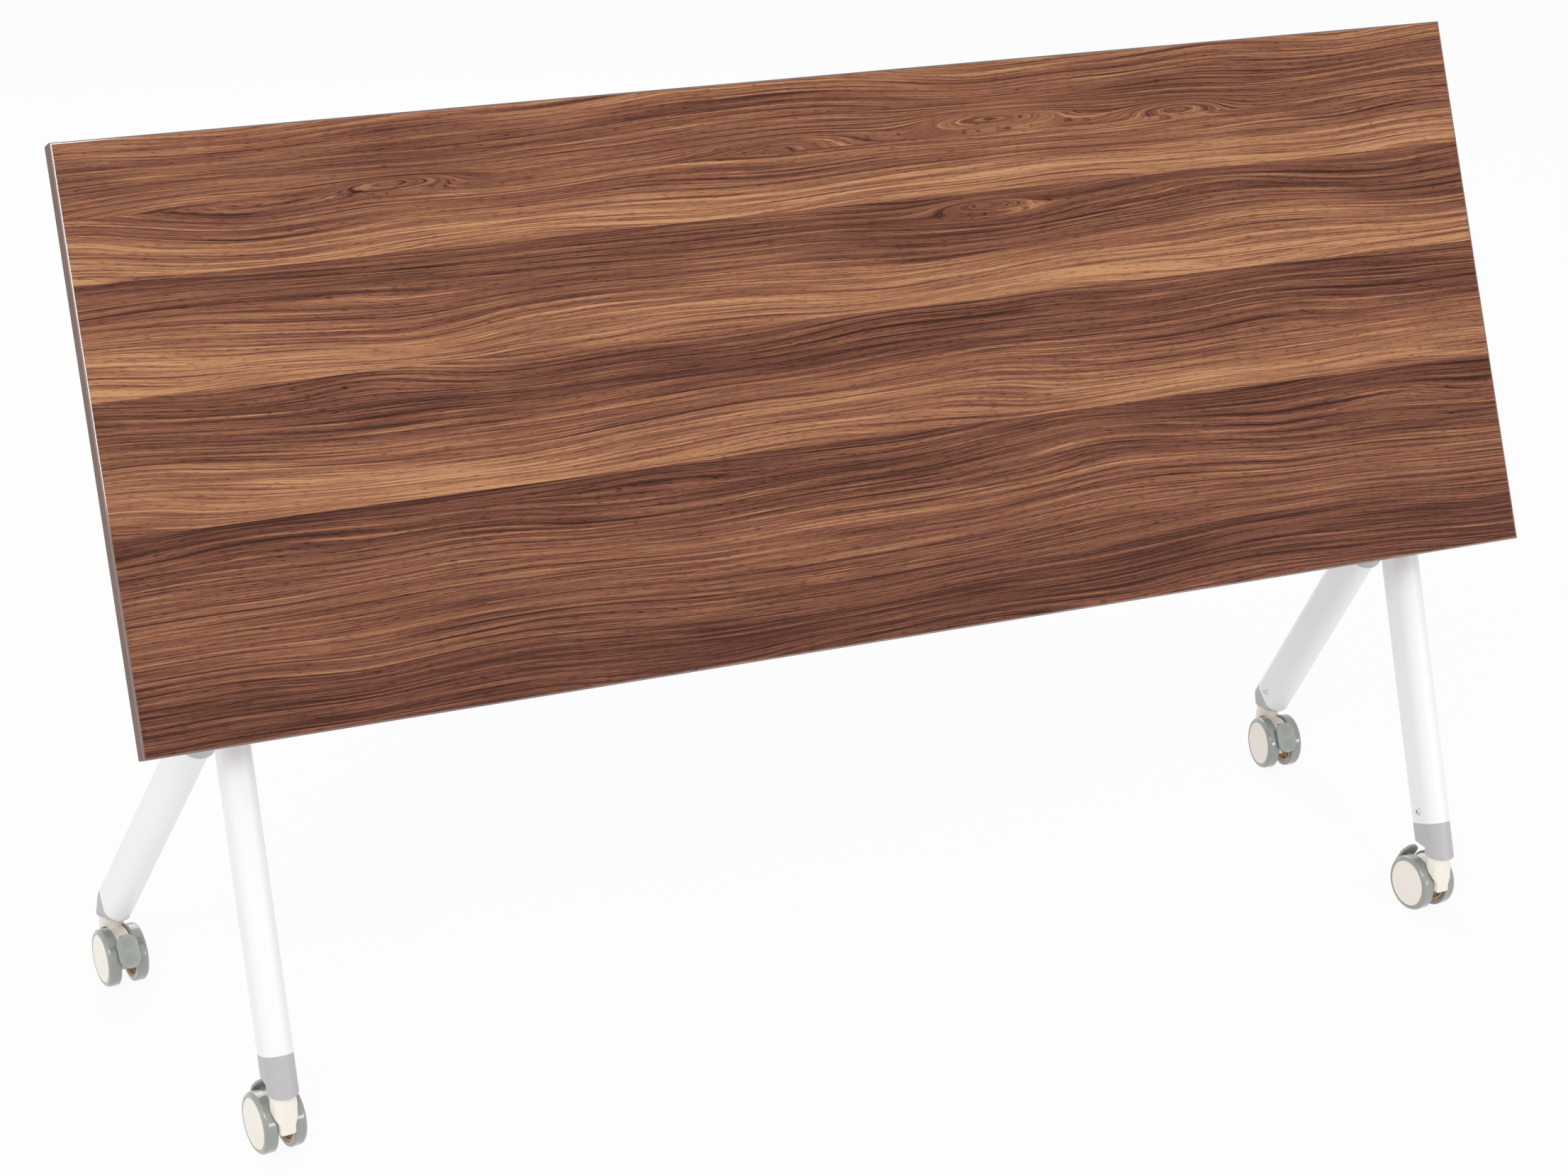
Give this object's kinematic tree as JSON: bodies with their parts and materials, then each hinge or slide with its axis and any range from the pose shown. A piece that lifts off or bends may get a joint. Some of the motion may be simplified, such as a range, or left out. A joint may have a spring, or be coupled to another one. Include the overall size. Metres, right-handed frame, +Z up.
{
  "type": "folding desk",
  "caption": "Folding desk whose laminate top tips about a pivot on forked tube legs with twin-wheel braked casters, held by a lever-released latch.",
  "frame": {"origin": "on the floor, centred under the folded desk", "axes": "+X along the desk's width, +Y towards the rear feet, +Z up; the folded work surface faces -Y"},
  "size_m": [1.6, 0.495, 0.9862],
  "materials": {
    "walnut_laminate": "satin walnut grain laminate",
    "edge_strip": "satin",
    "white_coat": "satin powder coat",
    "grey_moulding": "satin",
    "cast_alloy": "as cast",
    "zinc_steel": "zinc plated",
    "nylon": "plain",
    "black_rubber": "matt",
    "lever_grey": "satin",
    "cream_nylon": "gloss",
    "grey_tread": "smooth",
    "pedal_grey": "satin"
  },
  "bodies": {
    "frame": {"beam_bolts": "zinc_steel", "cross_beam": "white_coat", "foot_cap_screws": "zinc_steel", "front_left_foot_cap": "grey_moulding", "front_right_foot_cap": "grey_moulding", "left_front_leg": "white_coat", "left_leg_connector": "grey_moulding", "left_pivot_head": "cast_alloy", "left_rear_leg": "white_coat", "pivot_pins": "zinc_steel", "rear_left_foot_cap": "grey_moulding", "rear_right_foot_cap": "grey_moulding", "right_front_leg": "white_coat", "right_leg_connector": "grey_moulding", "right_pivot_head": "cast_alloy", "right_rear_leg": "white_coat"},
    "top": {"bracket_screws": "zinc_steel", "desktop": "walnut_laminate", "edge_band": "edge_strip", "left_top_bracket": "white_coat", "pivot_bushes": "nylon", "right_top_bracket": "white_coat", "stop_buffers": "black_rubber"},
    "release": {"latch_pawls": "zinc_steel", "release_levers": "lever_grey", "release_rod": "zinc_steel"},
    "front_left_caster": {"front_left_caster_stem": "zinc_steel", "front_left_caster_hood": "cream_nylon", "front_left_caster_axle": "zinc_steel"},
    "front_left_pedal": {"front_left_brake_pedal": "pedal_grey"},
    "front_left_left_wheel": {"front_left_left_hub": "cream_nylon", "front_left_left_tyre": "grey_tread"},
    "front_left_right_wheel": {"front_left_right_hub": "cream_nylon", "front_left_right_tyre": "grey_tread"},
    "front_right_caster": {"front_right_caster_stem": "zinc_steel", "front_right_caster_hood": "cream_nylon", "front_right_caster_axle": "zinc_steel"},
    "front_right_pedal": {"front_right_brake_pedal": "pedal_grey"},
    "front_right_left_wheel": {"front_right_left_hub": "cream_nylon", "front_right_left_tyre": "grey_tread"},
    "front_right_right_wheel": {"front_right_right_hub": "cream_nylon", "front_right_right_tyre": "grey_tread"},
    "rear_left_caster": {"rear_left_caster_stem": "zinc_steel", "rear_left_caster_hood": "cream_nylon", "rear_left_caster_axle": "zinc_steel"},
    "rear_left_pedal": {"rear_left_brake_pedal": "pedal_grey"},
    "rear_left_left_wheel": {"rear_left_left_hub": "cream_nylon", "rear_left_left_tyre": "grey_tread"},
    "rear_left_right_wheel": {"rear_left_right_hub": "cream_nylon", "rear_left_right_tyre": "grey_tread"},
    "rear_right_caster": {"rear_right_caster_stem": "zinc_steel", "rear_right_caster_hood": "cream_nylon", "rear_right_caster_axle": "zinc_steel"},
    "rear_right_pedal": {"rear_right_brake_pedal": "pedal_grey"},
    "rear_right_left_wheel": {"rear_right_left_hub": "cream_nylon", "rear_right_left_tyre": "grey_tread"},
    "rear_right_right_wheel": {"rear_right_right_hub": "cream_nylon", "rear_right_right_tyre": "grey_tread"}
  },
  "joints": [
    {"name": "top_flip", "type": "hinge", "parent": "frame", "child": "top", "pos_m": [0, 0, 0.685], "axis": [1, 0, 0], "range_deg": [-67, 0]},
    {"name": "release_turn", "type": "hinge", "parent": "top", "child": "release", "pos_m": [0, 0.00787, 0.74384], "axis": [1, 0, 0], "range_deg": [-7, 5], "stiffness_Nm_per_rad": 1.5, "springref_deg": -22.92},
    {"name": "front_left_swivel", "type": "hinge", "parent": "frame", "child": "front_left_caster", "pos_m": [-0.693, -0.225, 0.06], "axis": [0, 0, 1], "continuous": true},
    {"name": "front_left_brake", "type": "hinge", "parent": "front_left_caster", "child": "front_left_pedal", "pos_m": [-0.69867, -0.17883, 0.0455], "axis": [0.9925, 0.1219, 0], "range_deg": [-8, 0]},
    {"name": "front_left_left_spin", "type": "hinge", "parent": "front_left_caster", "child": "front_left_left_wheel", "pos_m": [-0.69593, -0.20118, 0.0325], "axis": [0.9925, 0.1219, 0], "continuous": true},
    {"name": "front_left_right_spin", "type": "hinge", "parent": "front_left_caster", "child": "front_left_right_wheel", "pos_m": [-0.69593, -0.20118, 0.0325], "axis": [0.9925, 0.1219, 0], "continuous": true},
    {"name": "front_right_swivel", "type": "hinge", "parent": "frame", "child": "front_right_caster", "pos_m": [0.693, -0.225, 0.06], "axis": [0, 0, 1], "continuous": true},
    {"name": "front_right_brake", "type": "hinge", "parent": "front_right_caster", "child": "front_right_pedal", "pos_m": [0.68895, -0.17866, 0.0455], "axis": [0.9962, 0.0872, 0], "range_deg": [-8, 0]},
    {"name": "front_right_left_spin", "type": "hinge", "parent": "front_right_caster", "child": "front_right_left_wheel", "pos_m": [0.69091, -0.20109, 0.0325], "axis": [0.9962, 0.0872, 0], "continuous": true},
    {"name": "front_right_right_spin", "type": "hinge", "parent": "front_right_caster", "child": "front_right_right_wheel", "pos_m": [0.69091, -0.20109, 0.0325], "axis": [0.9962, 0.0872, 0], "continuous": true},
    {"name": "rear_left_swivel", "type": "hinge", "parent": "frame", "child": "rear_left_caster", "pos_m": [-0.752, 0.235, 0.06], "axis": [0, 0, 1], "continuous": true},
    {"name": "rear_left_brake", "type": "hinge", "parent": "rear_left_caster", "child": "rear_left_pedal", "pos_m": [-0.74795, 0.18866, 0.0455], "axis": [-0.9962, -0.0872, 0], "range_deg": [-8, 0]},
    {"name": "rear_left_left_spin", "type": "hinge", "parent": "rear_left_caster", "child": "rear_left_left_wheel", "pos_m": [-0.74991, 0.21109, 0.0325], "axis": [-0.9962, -0.0872, 0], "continuous": true},
    {"name": "rear_left_right_spin", "type": "hinge", "parent": "rear_left_caster", "child": "rear_left_right_wheel", "pos_m": [-0.74991, 0.21109, 0.0325], "axis": [-0.9962, -0.0872, 0], "continuous": true},
    {"name": "rear_right_swivel", "type": "hinge", "parent": "frame", "child": "rear_right_caster", "pos_m": [0.752, 0.235, 0.06], "axis": [0, 0, 1], "continuous": true},
    {"name": "rear_right_brake", "type": "hinge", "parent": "rear_right_caster", "child": "rear_right_pedal", "pos_m": [0.74714, 0.18874, 0.0455], "axis": [-0.9945, 0.1045, 0], "range_deg": [-8, 0]},
    {"name": "rear_right_left_spin", "type": "hinge", "parent": "rear_right_caster", "child": "rear_right_left_wheel", "pos_m": [0.74949, 0.21113, 0.0325], "axis": [-0.9945, 0.1045, 0], "continuous": true},
    {"name": "rear_right_right_spin", "type": "hinge", "parent": "rear_right_caster", "child": "rear_right_right_wheel", "pos_m": [0.74949, 0.21113, 0.0325], "axis": [-0.9945, 0.1045, 0], "continuous": true}
  ]
}
